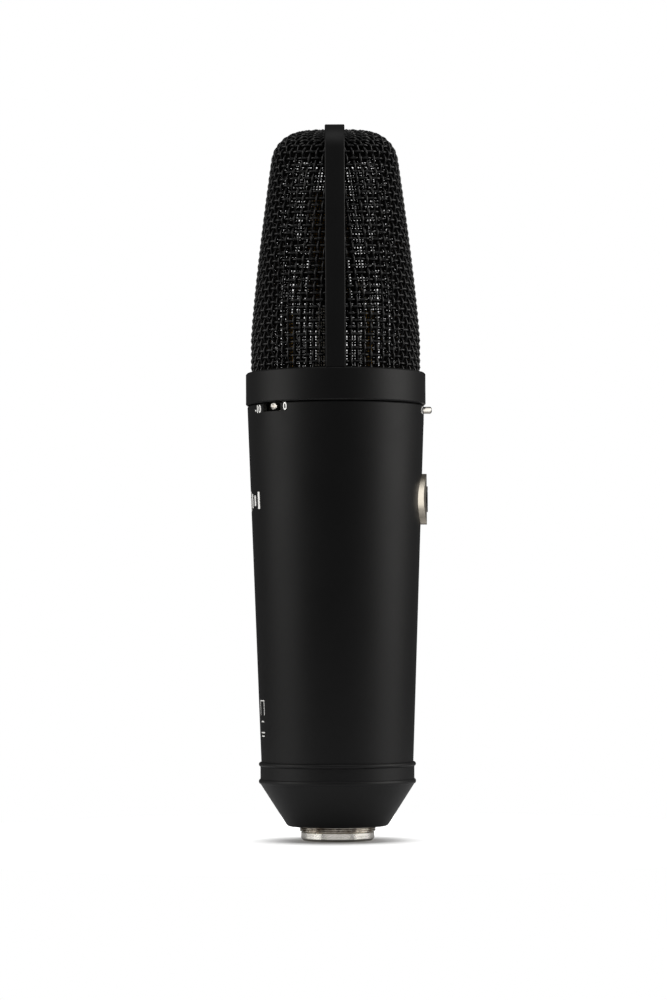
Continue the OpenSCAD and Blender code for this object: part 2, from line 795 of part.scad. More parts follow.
// How far the top corner has come in at height z, for a corner of radius r that ends at top
function cornered(z, r, top) = z <= top - r ? 0 : r - sqrt(max(0, r * r - pow(z - (top - r), 2)));

// The corner is a quarter circle on sides that already lean, so its radius is taken a little short
function level(i, top) = i <= slices ?
    mesh_z + (top - mesh_corner_r - mesh_z) * i / slices :
    top - mesh_corner_r + mesh_corner_r * sin(90 * (i - slices) / corner_slices);

// The section is round at the foot and turns into a rounded square on its way up
function roundness(z) = z <= mesh_taper_z ? 1 :
    2 / (2 + (mesh_square - 2) * (z - mesh_taper_z) / (mesh_top_z - mesh_taper_z));

// Half of the head's outline at one level, drawn in by inset, from +X round to -X
function half_level(i, inset, side) =
    let (
        top = mesh_top_z - inset,
        r = mesh_corner_r - inset / 2,
        z = level(i, top),
        n = roundness(z),
        depth = mesh_d / 2 - inset - drawn(z, mesh_draw_depth) - cornered(z, r, top),
        width = mesh_d / 2 - inset - drawn(z, mesh_draw_width) - cornered(z, r, top))
    [for (k = [0:half_sides]) let (a = 180 * k / half_sides)
        [width * sign(cos(a)) * pow(abs(cos(a)), n),
         side * (mesh_split + (depth - mesh_split) * pow(abs(sin(a)), n)), z]];

// A half shell of the head: side is -1 for the front and 1 for the rear. It is one closed surface:
// the outside, the inside, the two flat tops, and the narrow walls along the split and the lower edge.
module head_shell(inset, t, side) {
    levels = slices + corner_slices;
    row = half_sides + 1;
    inside = (levels + 1) * row;
    points = [for (s = [inset, inset + t], i = [0:levels]) each half_level(i, s, side)];
    skin = [for (i = [0:levels - 1], k = [0:half_sides - 1]) let (a = i * row + k)
        each [[a, a + 1, a + row + 1], [a, a + row + 1, a + row]]];
    edge = [for (i = [0:levels - 1]) let (a = i * row, b = a + half_sides)
        each [[a + row + inside, a + row, a], [a + inside, a + row + inside, a],
              [b + row, b + row + inside, b], [b + row + inside, b + inside, b]]];
    foot = [for (k = [0:half_sides - 1]) each [[k, k + inside, k + 1 + inside], [k, k + 1 + inside, k + 1]]];
    cap = [for (k = [0:half_sides]) levels * row + k];
    lid = [[levels * row + half_sides + inside, levels * row + half_sides, levels * row],
           [levels * row + inside, levels * row + half_sides + inside, levels * row]];
    faces = concat(
        [for (f = skin) [f[2], f[1], f[0]]],
        [for (f = skin) f + [inside, inside, inside]],
        edge,
        [for (f = foot) [f[2], f[1], f[0]]],
        [[for (k = [half_sides:-1:0]) cap[k]]],
        [[for (k = [0:half_sides]) cap[k] + inside]],
        lid);
    polyhedron(points, side > 0 ? faces : [for (f = faces) [for (j = [len(f) - 1:-1:0]) f[j]]]);
}

inner_inset = mesh_t + inner_mesh_gap;

module outer_mesh_front() { color("#2b2b2d") head_shell(0, mesh_t, -1); }
module outer_mesh_rear() { color("#2b2b2d") head_shell(0, mesh_t, 1); }
module inner_mesh_front() { color("#3a3a3c") head_shell(inner_inset, inner_mesh_t, -1); }
module inner_mesh_rear() { color("#3a3a3c") head_shell(inner_inset, inner_mesh_t, 1); }

// The head's outline in the plane of the strap, drawn in by inset
function head_outline(inset, foot_z) =
    let (
        top = mesh_top_z - inset,
        r = mesh_corner_r - min(inset, 0) * 0.5 - max(inset, 0) / 2,
        side = [for (i = [0:slices + corner_slices]) let (z = max(level(i, top), foot_z))
            [mesh_d / 2 - inset - drawn(z, mesh_draw_width) - cornered(z, r, top), z]])
    concat(side, [for (i = [len(side) - 1:-1:0]) [-side[i][0], side[i][1]]]);

// A hoop between two outlines, w wide across the strap's plane
module hoop(outer_inset, inner_inset, w, foot_z) {
    translate([0, w / 2, 0]) rotate([90, 0, 0]) linear_extrude(w) difference() {
        polygon(head_outline(outer_inset, foot_z));
        polygon(head_outline(inner_inset, foot_z - 1));
    }
}

module head_strap() { color(black_paint) hoop(-strap_t, 0, strap_w, collar_top_z); }
module mesh_hoop() { color(black_paint) hoop(mesh_t + 0.15, inner_inset - 0.05, hoop_w, mesh_z); }

module mesh_base_ring() {
    color(black_paint) difference() {
        ring(mesh_d / 2 - mesh_t - 0.1, mesh_d / 2 - inner_inset + 0.1, mesh_z, 4);
        // the hoop's feet pass here
        translate([-40, -hoop_w / 2 - 0.1, mesh_z - eps]) cube([80, hoop_w + 0.2, 5]);
    }
}

threaded_foot();
xlr_shell();
xlr_insert();
xlr_pins();
foot_screws();
end_bell();
chassis_ring();
body_tube();
badge();
badge_emblem();
switch_bezels();
pattern_switch();
pattern_lever();
pad_switch();
pad_lever();
filter_switch();
filter_lever();
lower_plate();
rail_left();
rail_right();
top_plate();
chassis_screws();
transformer_core();
transformer_coil();
transformer_bracket();
main_board();
filter_board();
board_standoffs();
board_screws();
film_capacitors();
electrolytic_capacitors();
resistors();
input_transistor();
output_wires();
head_collar();
head_base_plate();
head_screws();
capsule_isolator();
capsule_post();
capsule_saddle();
saddle_screws();
backplate_front();
backplate_rear();
capsule_spacer();
diaphragm_front();
diaphragm_rear();
clamp_ring_front();
clamp_ring_rear();
capsule_screws();
centre_terminals();
lead_terminals();
capsule_leads();
mesh_base_ring();
mesh_hoop();
inner_mesh_front();
inner_mesh_rear();
outer_mesh_front();
outer_mesh_rear();
head_strap();
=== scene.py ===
# %% [markdown]
# # A side-address studio microphone
#
# The hard parts of this microphone (body, chassis, switches, capsule) come ready made from a CAD
# program as a fixed frame. In Blender we give every one of them its real finish, and we model the
# pieces that CAD can only show as plain shells: the woven wire mesh, the strap over it, the soft
# wires inside and the printed marks. All lengths in this lesson are in millimetres until the last
# moment, when `MM` turns them into Blender's metres.

# %% Load the frame
import math

import bpy
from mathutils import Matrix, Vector


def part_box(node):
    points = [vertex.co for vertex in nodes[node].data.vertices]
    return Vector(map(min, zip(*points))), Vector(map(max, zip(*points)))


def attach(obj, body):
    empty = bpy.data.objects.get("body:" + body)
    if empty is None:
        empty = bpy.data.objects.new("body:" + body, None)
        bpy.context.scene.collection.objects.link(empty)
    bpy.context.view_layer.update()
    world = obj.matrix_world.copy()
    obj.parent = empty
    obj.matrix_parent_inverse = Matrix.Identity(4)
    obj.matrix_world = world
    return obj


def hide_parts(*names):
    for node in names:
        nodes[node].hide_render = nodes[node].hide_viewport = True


MM = 0.001
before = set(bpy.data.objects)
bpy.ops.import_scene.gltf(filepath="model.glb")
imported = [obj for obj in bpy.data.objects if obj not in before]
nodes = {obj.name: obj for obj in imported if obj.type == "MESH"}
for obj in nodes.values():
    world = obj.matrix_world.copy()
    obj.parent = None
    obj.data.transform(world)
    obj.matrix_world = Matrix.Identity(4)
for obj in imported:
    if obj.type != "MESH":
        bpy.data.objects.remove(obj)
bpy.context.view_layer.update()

# %% [markdown]
# ## Small helpers
#
# So one helper takes a single object in hand. Another hands a finished piece over: it smooths the
# shading across edges that aren't sharp, gives the finish, and says which CAD body the piece
# moves with. A third reads a place off a CAD node, so that a new piece goes where the frame says.

# %% Helpers for pieces
def take(obj):
    """Selects this object alone and makes it the active one."""
    bpy.ops.object.select_all(action="DESELECT")
    obj.select_set(True)
    bpy.context.view_layer.objects.active = obj
    return obj


def to_mesh(obj, name):
    """Turns a curve or a text into a mesh whose place is in its vertices."""
    take(obj)
    bpy.ops.object.convert(target="MESH")
    made = bpy.context.view_layer.objects.active
    bpy.ops.object.transform_apply(location=True, rotation=True, scale=True)
    made.name = made.data.name = name
    return made


def hand_over(obj, finish, replaces=(), smooth=35):
    """The last step of every new piece."""
    take(obj)
    obj.data.materials.clear()
    obj.data.materials.append(finish)
    bpy.ops.object.shade_smooth_by_angle(angle=math.radians(smooth))
    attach(obj, "microphone")
    if replaces:
        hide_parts(*replaces)
    print(f"{obj.name}: {len(obj.data.polygons)} faces")
    return obj


def modify(obj, kind, **settings):
    """Adds one modifier and applies it."""
    take(obj)
    modifier = obj.modifiers.new(kind.title(), kind)
    for name, value in settings.items():
        setattr(modifier, name, value)
    bpy.ops.object.modifier_apply(modifier=modifier.name)


def start(node, axis):
    """Where a CAD node starts along an axis, "x", "y" or "z", in millimetres."""
    return round(getattr(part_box(node)[0], axis) / MM, 2)


def end(node, axis):
    """Where it ends along that axis."""
    return round(getattr(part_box(node)[1], axis) / MM, 2)


# %% [markdown]
# ## Camera
#
# A long lens from about a metre away keeps the sides of the tube nearly parallel. The camera
# stands below the middle of the microphone and tips up by two degrees. It looks at the side of
# the microphone, where the strap comes down. A tripod is never quite level, so the camera also
# rolls by a quarter of a degree, and the microphone seems to lean by as much.

# %% Camera
CAMERA_X, CAMERA_Y, CAMERA_Z = -1030, 0.84, 63.5
TIP_UP, ROLL, LENS = 2.34, -0.26, 119.16

bpy.ops.object.camera_add(
    location=(CAMERA_X * MM, CAMERA_Y * MM, CAMERA_Z * MM),
    rotation=(math.radians(90 + TIP_UP), 0, math.radians(-90)),
)
camera = bpy.context.object
camera.name = "camera"
camera.rotation_euler.rotate_axis("Z", math.radians(ROLL))
camera.data.lens = LENS
camera.data.sensor_width = 36
camera.data.clip_start = 0.01
bpy.context.scene.camera = camera
bpy.context.scene.view_settings.view_transform = "Standard"
bpy.context.scene.view_settings.look = "None"
print(f"camera: {-CAMERA_X} mm away, {LENS} mm lens")

# %% [markdown]
# ## One way to write a node
#
# Every finish below is a small tree of shader nodes. `add` puts in one node, with its settings and
# its links, so a tree reads as a short list.

# %% Helpers for finishes
def add(tree, kind, settings=(), links=()):
    """One node. settings are socket values or properties, links are (socket, node, output)."""
    made = tree.nodes.new("ShaderNode" + kind)
    for name, value in dict(settings).items():
        if isinstance(name, int) or name in made.inputs:
            made.inputs[name].default_value = value
        else:
            setattr(made, name, value)
    for socket, source, output in links:
        tree.links.new(source.outputs[output], made.inputs[socket])
    return made


def linear(code):
    """The linear colour of an sRGB hex value such as "#1c1c1e"."""
    shares = [int(code[i : i + 2], 16) / 255 for i in (1, 3, 5)]
    return [
        *(s / 12.92 if s <= 0.04045 else ((s + 0.055) / 1.055) ** 2.4 for s in shares),
        1,
    ]


def per(size):
    """The scale at which a pattern repeats every so many millimetres."""
    return 1 / (size * MM)


# %% [markdown]
# ## The light
#
# The room is a white studio: the camera sees white behind the microphone, while the black paint
# sees a dim room with one big soft box on each side. Those two boxes draw the two soft vertical
# bands on the paint. A third and much weaker one hangs above, for the top of the mesh.

# %% World
ROOM_LIGHT = 0.085
world = bpy.data.worlds.new("studio")
bpy.context.scene.world = world
world.use_nodes = True
tree = world.node_tree
tree.nodes.clear()
seen = add(tree, "LightPath")
room = add(tree, "Background", {"Color": linear("#ffffff"), "Strength": ROOM_LIGHT})
wall = add(tree, "Background", {"Color": linear("#ffffff"), "Strength": 1.0})
mixed = add(tree, "MixShader", links=[(0, seen, "Is Camera Ray"), (1, room, 0), (2, wall, 0)])
add(tree, "OutputWorld", links=[("Surface", mixed, 0)])
print("room light:", ROOM_LIGHT)


# %% Soft boxes
def soft_box(name, place, aim, size, power, tint):
    """A rectangular area light at place that faces aim, all in millimetres."""
    way = Vector(aim) - Vector(place)
    bpy.ops.object.light_add(type="AREA", location=Vector(place) * MM)
    light = bpy.context.object
    light.name = name
    light.rotation_euler = way.to_track_quat("-Z", "Y").to_euler()
    light.data.shape = "RECTANGLE"
    light.data.size, light.data.size_y = size[0] * MM, size[1] * MM
    light.data.energy = power
    light.data.color = linear(tint)[:3]
    print(f"{name}: {power} W, {size[0]} by {size[1]} mm")
    return light


MIDDLE, SIDE_BOX, TOP_BOX = (0, 0, 140), (760, 760), (500, 500)
WHITE, WARM_WHITE = "#ffffff", "#fffdfa"
# place, size, power and tint
SOFT_BOXES = {
    "left_soft_box": ((-200, 880, 430), SIDE_BOX, 2.5, WARM_WHITE),
    "right_soft_box": ((-120, -890, 430), SIDE_BOX, 3.6, WARM_WHITE),
    "top_soft_box": ((-250, 0, 900), TOP_BOX, 0.6, WHITE),
}
for name, (place, size, power, tint) in SOFT_BOXES.items():
    soft_box(name, place, MIDDLE, size, power, tint)

# %% [markdown]
# ## The floor
#
# The microphone stands on a round of pale paper. A lamp of its own makes the paper as white as
# the background and leaves the small soft shadow under the bell. Light linking keeps that lamp
# off the microphone. The black bell would mirror such a bright paper, so only the camera sees it
# bright, and every other ray meets a grey one. The Light Path node tells the two apart.

# %% Floor
PAPER_R, PAPER, PAPER_IN_MIRRORS = 150, "#f2f2f2", "#8c8c8c"
FLOOR_LIGHT, FLOOR_LIGHT_ANGLE, FLOOR_LIGHT_TILT = 4.75, 78, 12


def lit_only(lights, pieces, name):
    """Makes lights fall on the given pieces and nothing else."""
    group = bpy.data.collections.new(name)
    for piece in pieces:
        group.objects.link(piece)
    for light in lights:
        light.light_linking.receiver_collection = group
    return group


bpy.ops.mesh.primitive_circle_add(vertices=96, radius=PAPER_R * MM, fill_type="NGON")
floor = bpy.context.object
floor.name = "floor"
pale = bpy.data.materials.new("pale paper floor")
pale.use_nodes = True
tree = pale.node_tree
tree.nodes.clear()
seen = add(tree, "LightPath")
dim = add(tree, "BsdfDiffuse", {"Color": linear(PAPER_IN_MIRRORS)})
paper = add(tree, "BsdfDiffuse", {"Color": linear(PAPER)})
mixed = add(tree, "MixShader", links=[(0, seen, "Is Camera Ray"), (1, dim, 0), (2, paper, 0)])
add(tree, "OutputMaterial", links=[("Surface", mixed, 0)])
floor.data.materials.append(pale)

tilt = math.radians(FLOOR_LIGHT_TILT)
bpy.ops.object.light_add(type="SUN", location=(0, 0, 1), rotation=(0, tilt, 0))
overhead = bpy.context.object
overhead.name = "floor_light"
overhead.data.energy = FLOOR_LIGHT
overhead.data.angle = math.radians(FLOOR_LIGHT_ANGLE)
lit_only([overhead], [floor], "lit by the floor light")
print(f"floor: {2 * PAPER_R} mm across")

# %% [markdown]
# ## Cards for small things
#
# Polished metal shows what stands round it, and in a dim room it would be black. So white cards
# are held up to the foot, the levers, the badge and, further on, the printed marks. Light linking
# keeps them off the paint.

# %% Cards
CARD_H, SMALL_CARD, SMALL_CARD_LIGHT = 140, (520, 1500), 3.6
# place, width and power
FOOT_CARDS = {
    "front_foot_card": ((-500, 0, 75), 900, 0.85),
    "left_foot_card": ((-60, 600, 75), 700, 1.9),
    "right_foot_card": ((-20, -600, 75), 800, 2.1),
}
cards = [
    soft_box(name, place, (0, 0, 0), (width, CARD_H), power, WHITE)
    for name, (place, width, power) in FOOT_CARDS.items()
]
lit_only(cards, [nodes["threaded_foot"], nodes["xlr_shell"]], "lit by the foot cards")

SMALL_CARDS = {
    "left_small_card": (-480, 480, 200),
    "middle_small_card": (-680, 0, 200),
    "right_small_card": (-480, -480, 200),
}
cards = [
    soft_box(name, place, MIDDLE, SMALL_CARD, SMALL_CARD_LIGHT, WHITE)
    for name, place in SMALL_CARDS.items()
]
LEVERS = ["pattern_lever", "pad_lever", "filter_lever"]
small_things = lit_only(
    cards, [nodes[name] for name in [*LEVERS, "badge"]], "lit by the small cards"
)


# %% [markdown]
# ## Finishes
#
# Nearly every surface on a microphone is one of a few processes: lacquer, plating, turning,
# moulding. What they share is a base colour that is never quite even, a gloss that changes a
# little from place to place, and a fine grain. `finish` builds that much from real sizes. `grain`
# is (width of one grain, depth), `blotch` is the size of the uneven patches, and `stretch` draws
# the grain out along an axis, as a brush or a cutting tool does. Plating and lacquer are really
# finer than these grains, but finer ones wouldn't show, so they are drawn this coarse.

# %% A finish
GRAIN_SHARE = 0.4  # of the unevenness; the patches give the rest


def finish(name, colours, rough, grain, blotch=8, stretch=(1, 1, 1), turned=False, **sockets):
    """A material with uneven colour and gloss and a fine grain; all sizes are in millimetres."""
    material = bpy.data.materials.new(name)
    material.use_nodes = True
    tree = material.node_tree
    tree.nodes.clear()
    place = add(tree, "TexCoord")
    where, output = place, "Object"
    if turned:
        # a tool mark runs round the axis, so the grain reads only the radius and the height
        split = add(tree, "SeparateXYZ", links=[(0, place, "Object")])
        flat = add(tree, "CombineXYZ", links=[("X", split, "X"), ("Y", split, "Y")])
        radius = add(tree, "VectorMath", {"operation": "LENGTH"}, [(0, flat, 0)])
        turned_place = [("X", radius, "Value"), ("Z", split, "Z")]
        where, output = add(tree, "CombineXYZ", links=turned_place), 0
    drawn_out = add(
        tree, "Mapping", {"Scale": [1 / s for s in stretch]}, [("Vector", where, output)]
    )
    fine = add(
        tree,
        "TexNoise",
        {"Scale": per(grain[0]), "Detail": 2, "Roughness": 0.6},
        [("Vector", drawn_out, 0)],
    )
    patches = add(
        tree, "TexNoise", {"Scale": per(blotch), "Detail": 3}, [("Vector", place, "Object")]
    )
    part = add(tree, "Math", {"operation": "MULTIPLY", 1: GRAIN_SHARE}, [(0, fine, "Fac")])
    uneven = add(
        tree,
        "Math",
        {"operation": "MULTIPLY_ADD", 1: 1 - GRAIN_SHARE},
        [(0, patches, "Fac"), (2, part, 0)],
    )
    # noise stays near its middle, so a narrow range of it is stretched from one end to the other
    share = add(
        tree, "MapRange", {"From Min": 0.35, "From Max": 0.65}, [("Value", uneven, 0)]
    )
    colour = add(
        tree,
        "Mix",
        {"data_type": "RGBA", 6: linear(colours[0]), 7: linear(colours[1])},
        [(0, share, 0)],
    )
    gloss = add(
        tree,
        "MapRange",
        {"From Min": 0.3, "From Max": 0.7, "To Min": rough[0], "To Max": rough[1]},
        [("Value", uneven, 0)],
    )
    bump = add(
        tree, "Bump", {"Strength": 1, "Distance": grain[1] * MM}, [("Height", fine, "Fac")]
    )
    shader = add(
        tree,
        "BsdfPrincipled",
        sockets,
        [("Base Color", colour, 2), ("Roughness", gloss, 0), ("Normal", bump, 0)],
    )
    add(tree, "OutputMaterial", links=[("Surface", shader, 0)])
    print(f"finish: {name}, grain {grain[0]} mm")
    return material


def metal(name, colours, rough, grain, **more):
    """The same with a metal's own reflection."""
    return finish(name, colours, rough, grain, **{"Metallic": 1.0, **more})


# %% [markdown]
# ### Paint and plating outside
#
# The body is brass or aluminium under a fine matte black lacquer: nearly no colour of its own,
# a broad soft sheen, and an orange peel that is only just there. The mesh wears the same black in
# a thinner coat, which is a little glossier on the round wires. Nickel plate is warm against
# chrome. On the foot it lies over turned brass, so fine tool marks run round it; on the badge it
# lies over a blasted surface and looks like satin.

# %% Outside finishes
# nearly black, with a broad soft sheen and a faint orange peel
lacquer = finish(
    "matte black lacquer",
    ("#0e0e0f", "#111112"),
    (0.44, 0.52),
    (0.45, 0.0035),
    blotch=14,
)
# a thinner coat on round wires: a small sharp glint on top of each one
wire_lacquer = finish(
    "black lacquer on woven steel wire",
    ("#101011", "#19191a"),
    (0.18, 0.28),
    (0.25, 0.004),
    blotch=3,
    **{"Specular IOR Level": 0.8},
)
# brownish black and dull, so that it reads as depth behind the mesh
gauze_lacquer = finish(
    "blackened bronze gauze",
    ("#0e0d0b", "#1e1b16"),
    (0.3, 0.42),
    (0.2, 0.003),
    blotch=4,
)
# a bright, slightly warm mirror, crossed by fine rings
turned_nickel = metal(
    "nickel plate on turned brass",
    ("#cdc9c1", "#dbd8d1"),
    (0.16, 0.26),
    (0.22, 0.0022),
    blotch=5,
    turned=True,
)
# the same mirror, smoother, because a lever is polished by fingers
lever_nickel = metal(
    "nickel plate on a small lever",
    ("#cdc8bf", "#dcd8d0"),
    (0.15, 0.24),
    (0.15, 0.001),
    blotch=2,
)
# a soft warm grey glow with no clear reflections
satin_nickel = metal(
    "satin nickel plate",
    ("#c9c0b0", "#d8d0c2"),
    (0.30, 0.40),
    (0.18, 0.004),
    blotch=3,
)
# a dark strip that is only a little lighter than the paint
blackened = metal(
    "chemically blackened brass",
    ("#171513", "#22201d"),
    (0.34, 0.46),
    (0.2, 0.002),
    blotch=2,
)
# deep black with a wet gloss
enamel = finish(
    "black enamel",
    ("#0a0a0b", "#0e0e10"),
    (0.10, 0.18),
    (0.9, 0.002),
    blotch=3,
)
# an even, chalky white
print_ink = finish(
    "white printing ink",
    ("#f0efeb", "#fbfaf7"),
    (0.50, 0.60),
    (0.12, 0.003),
    blotch=1.5,
)

# %% [markdown]
# ### Metals inside
#
# Behind the mesh the capsule is gold and brass. Its membrane is plastic film with sputtered gold:
# very smooth, with long faint waves from its tension. Turned brass shows rings, rolled aluminium
# a straight grain, and small screws a cold zinc.

# %% Inside metals
# a yellow mirror with long faint waves
gold_film = metal(
    "sputtered gold film", ("#d9ae5c", "#e6c173"), (0.10, 0.16), (3.5, 0.02), blotch=9
)
# a soft yellow shine on small contacts
gold_plate = metal(
    "gold plate on contacts", ("#d6a84f", "#e5bd69"), (0.18, 0.28), (0.2, 0.0015), blotch=2
)
# a duller yellow with tool rings
brass = metal(
    "turned brass", ("#a98646", "#c09c58"), (0.26, 0.38), (0.25, 0.003), turned=True
)
# a cold grey shine
zinc = metal("zinc plated steel", ("#9da2a8", "#b4b8bc"), (0.28, 0.42), (0.3, 0.003), blotch=2)
# a pale satin with a straight grain up and down
rolled = metal(
    "rolled aluminium",
    ("#aeb1b3", "#c2c4c6"),
    (0.30, 0.42),
    (0.25, 0.003),
    stretch=(1, 1, 40),
)
# a smooth grey can
tin = metal("tinned can", ("#a6a7a6", "#bdbebc"), (0.22, 0.34), (0.4, 0.003), blotch=2)
# dark steel in thin bands, one on the other
laminations = metal(
    "stacked core steel",
    ("#4c4e52", "#76797e"),
    (0.38, 0.55),
    (0.5, 0.06),
    stretch=(60, 1, 60),
)

# %% [markdown]
# ### Plastics, rubber and the board inside
#
# Moulded parts take their skin from the mould, so they have a soft even gloss; rubber is dull.
# Tape, sleeve and lacquer bring the few colours that the inside has.

# %% Plastics
# a dark soft gloss from a sparked mould
plastic = finish(
    "moulded black nylon", ("#121214", "#19191b"), (0.42, 0.55), (0.3, 0.006), blotch=6
)
# almost no gloss at all
rubber = finish(
    "moulded black rubber", ("#0f0f0f", "#171716"), (0.70, 0.85), (0.25, 0.008), blotch=5
)
# a milky white with faint lathe rings
acetal = finish(
    "natural acetal", ("#dcd7c8", "#e8e4d6"), (0.34, 0.46), (0.4, 0.003), turned=True
)
# a glossy amber band, with ridges where the turns lie under it
tape = finish(
    "amber winding tape",
    ("#9a5626", "#b96f34"),
    (0.22, 0.34),
    (1.2, 0.03),
    stretch=(30, 30, 1),
)
# a glassy green with a fine cloth grain
laminate = finish(
    "green board laminate", ("#17402a", "#1f5236"), (0.30, 0.45), (0.5, 0.01), blotch=4
)
# a brick red box with a soft gloss
film_case = finish(
    "moulded red capacitor case", ("#8e2f22", "#a63c2d"), (0.32, 0.45), (0.3, 0.006)
)
# a tight dark blue skin
sleeve = finish(
    "blue shrink sleeve", ("#28365c", "#33446f"), (0.25, 0.35), (0.5, 0.004)
)
# a sandy, slightly lumpy dip
resistor_lacquer = finish(
    "sand lacquer on resistors", ("#b89868", "#cdb083"), (0.35, 0.5), (0.3, 0.006)
)
# a dull ivory skin
insulation = finish(
    "ivory wire insulation", ("#cfcab8", "#ddd9ca"), (0.45, 0.6), (0.3, 0.003)
)

# %% [markdown]
# The foot is plated in one bath. Above its plain ring, over the thread, the plate's colour is mixed
# towards a darker brown, in patches.

# %% Darker thread
PLAIN_RING_TOP_Z, DARK_BROWN, PATCH_SIZE = 2.9, "#6d6152", 2.4
FADE = 0.2  # the darkening begins over twice this height
tree = turned_nickel.node_tree
place = add(tree, "TexCoord")
height = add(tree, "SeparateXYZ", links=[(0, place, "Object")])
darker = add(
    tree,
    "MapRange",
    {"From Min": (PLAIN_RING_TOP_Z - FADE) * MM, "From Max": (PLAIN_RING_TOP_Z + FADE) * MM},
    [("Value", height, "Z")],
)
patch_noise = add(
    tree, "TexNoise", {"Scale": per(PATCH_SIZE), "Detail": 3}, [("Vector", place, "Object")]
)
patchy = add(
    tree,
    "MapRange",
    {"From Min": 0.35, "From Max": 0.62, "To Min": 1.0, "To Max": 0.35},
    [("Value", patch_noise, "Fac")],
)
share = add(tree, "Math", {"operation": "MULTIPLY"}, [(0, darker, 0), (1, patchy, 0)])
shader = next(node for node in tree.nodes if node.type == "BSDF_PRINCIPLED")
plate = shader.inputs["Base Color"].links[0].from_node
darkened = add(
    tree,
    "Mix",
    {"data_type": "RGBA", 7: linear(DARK_BROWN)},
    [(0, share, 0), (6, plate, 2)],
)
tree.links.new(darkened.outputs[2], shader.inputs["Base Color"])
print("worn thread: above", PLAIN_RING_TOP_Z, "mm")

# %% [markdown]
# ### Giving the finishes to the frame
#
# Each CAD node keeps its shape. Only its material is exchanged.

# %% Finishes on the CAD nodes
WORN_BY = [
    (lacquer, "end_bell chassis_ring body_tube head_collar mesh_hoop mesh_base_ring"),
    (turned_nickel, "threaded_foot xlr_shell"),
    (lever_nickel, "pattern_lever pad_lever filter_lever"),
    (blackened, "switch_bezels"),
    (satin_nickel, "badge clamp_ring_front clamp_ring_rear"),
    (enamel, "badge_emblem"),
    (gold_plate, "xlr_pins centre_terminals"),
    (gold_film, "diaphragm_front diaphragm_rear"),
    (brass, "backplate_front backplate_rear capsule_screws lead_terminals board_standoffs"),
    (zinc, "foot_screws chassis_screws head_screws saddle_screws board_screws"),
    (zinc, "transformer_bracket"),
    (rolled, "lower_plate rail_left rail_right top_plate"),
    (tin, "input_transistor"),
    (laminations, "transformer_core"),
    (plastic, "xlr_insert pattern_switch pad_switch filter_switch head_base_plate capsule_saddle"),
    (rubber, "capsule_isolator"),
    (acetal, "capsule_post capsule_spacer"),
    (tape, "transformer_coil"),
    (laminate, "main_board filter_board"),
    (film_case, "film_capacitors"),
    (sleeve, "electrolytic_capacitors"),
    (resistor_lacquer, "resistors"),
]
for material, names in WORN_BY:
    for name in names.split():
        nodes[name].data.materials.clear()
        nodes[name].data.materials.append(material)
print("finished nodes:", sum(len(names.split()) for _, names in WORN_BY))

# %% [markdown]
# ## The form of the head
#
# The mesh is two half shells, front and rear, pressed to one outline: straight up from the
# collar, then leaning in more and more, then a round corner and a flat top. Across it is wider
# than deep. We need that outline twice, for the mesh and for the strap, so it is written as a
# formula: half the width and half the depth at any height. The section is round at the collar and
# becomes a rounded square on its way up, which a power above 2 in the ellipse's formula gives.

# %% Outline of the head
MESH_FOOT_Z, MESH_TOP_Z = start("outer_mesh_front", "z"), end("outer_mesh_front", "z")
MESH_R, CORNER_R = end("outer_mesh_front", "x"), 7.9
LEAN_Z, LEAN_POWER = 155, 1.23
DRAWN_IN = (4, 6.7)  # how much narrower and shallower the head is at its top, on each side
SQUARE = 3.4  # the section's power at the top
FLAT, TINY = 0.02, 1e-5  # this close to the top is on it; this close together is the same place
print("mesh: from", MESH_FOOT_Z, "to", MESH_TOP_Z, "mm, radius", MESH_R)


def half_axes(z, inset):
    """Half the head's width and half its depth at height z, on a form inset from the outside."""
    top, r = MESH_TOP_Z - inset, CORNER_R - inset / 2
    lean = max(0, (z - LEAN_Z) / (MESH_TOP_Z - CORNER_R - LEAN_Z)) ** LEAN_POWER
    rise = min(max(0, z - (top - r)), r)
    corner = r - math.sqrt(r * r - rise * rise)
    return [MESH_R - inset - draw * lean - corner for draw in DRAWN_IN]


def squareness(z):
    """The section's power at height z: 2 is an ellipse, more is squarer."""
    return 2 + (SQUARE - 2) * max(0, z - LEAN_Z) / (MESH_TOP_Z - LEAN_Z)


def share_out(p, z, inset):
    """How far out p is at height z, where 1 is on the form."""
    (width, depth), power = half_axes(z, inset), squareness(z)
    return (abs(p.x / width) ** power + abs(p.y / depth) ** power) ** (1 / power)


def on_form(p, inset):
    """Moves p onto the form: sideways on the walls, straight up or down on the top."""
    top, r = MESH_TOP_Z - inset, CORNER_R - inset / 2
    if p.z < top - 0.4 * r:  # the corner is still steep here
        share = share_out(p, p.z, inset)
        return Vector((p.x / share, p.y / share, p.z))
    low, high = top - r, top
    if share_out(p, top, inset) <= 1:
        low = top
    while high - low > TINY:
        z = (low + high) / 2
        low, high = (z, high) if share_out(p, z, inset) < 1 else (low, z)
    return Vector((p.x, p.y, high))


def outward(p, inset):
    """The direction that points straight out of the form at p."""
    if p.z > MESH_TOP_Z - inset - FLAT:
        return Vector((0, 0, 1))
    step = 0.01
    here = share_out(p, p.z, inset)
    ahead = (
        share_out(p + Vector((step, 0, 0)), p.z, inset),
        share_out(p + Vector((0, step, 0)), p.z, inset),
        share_out(p, p.z + step, inset),
    )
    return Vector([there - here for there in ahead]).normalized()


# %% [markdown]
# ## The woven mesh
#
# The real shell starts as flat woven wire: straight wires one way, straight wires the other way,
# each going over one and under the next. A press draws it over a form. Wire doesn't stretch, so
# the distance from one crossing to the next stays the same everywhere, and the little squares
# become diamonds where the sheet runs over a corner.
#
# There are easy ways to fake this, such as a wireframe modifier on a grid, but they stretch at
# the corner, and the wires don't go over and under. So the sheet is draped as the press does it.
# We lay one row of crossings round the foot and one column up the middle. Each other crossing is
# then found from its two neighbours: the point on the form that is one pitch away from both.

# %% Draping
ROUNDS = 12  # each round of correction brings a crossing nearer, and these are plenty


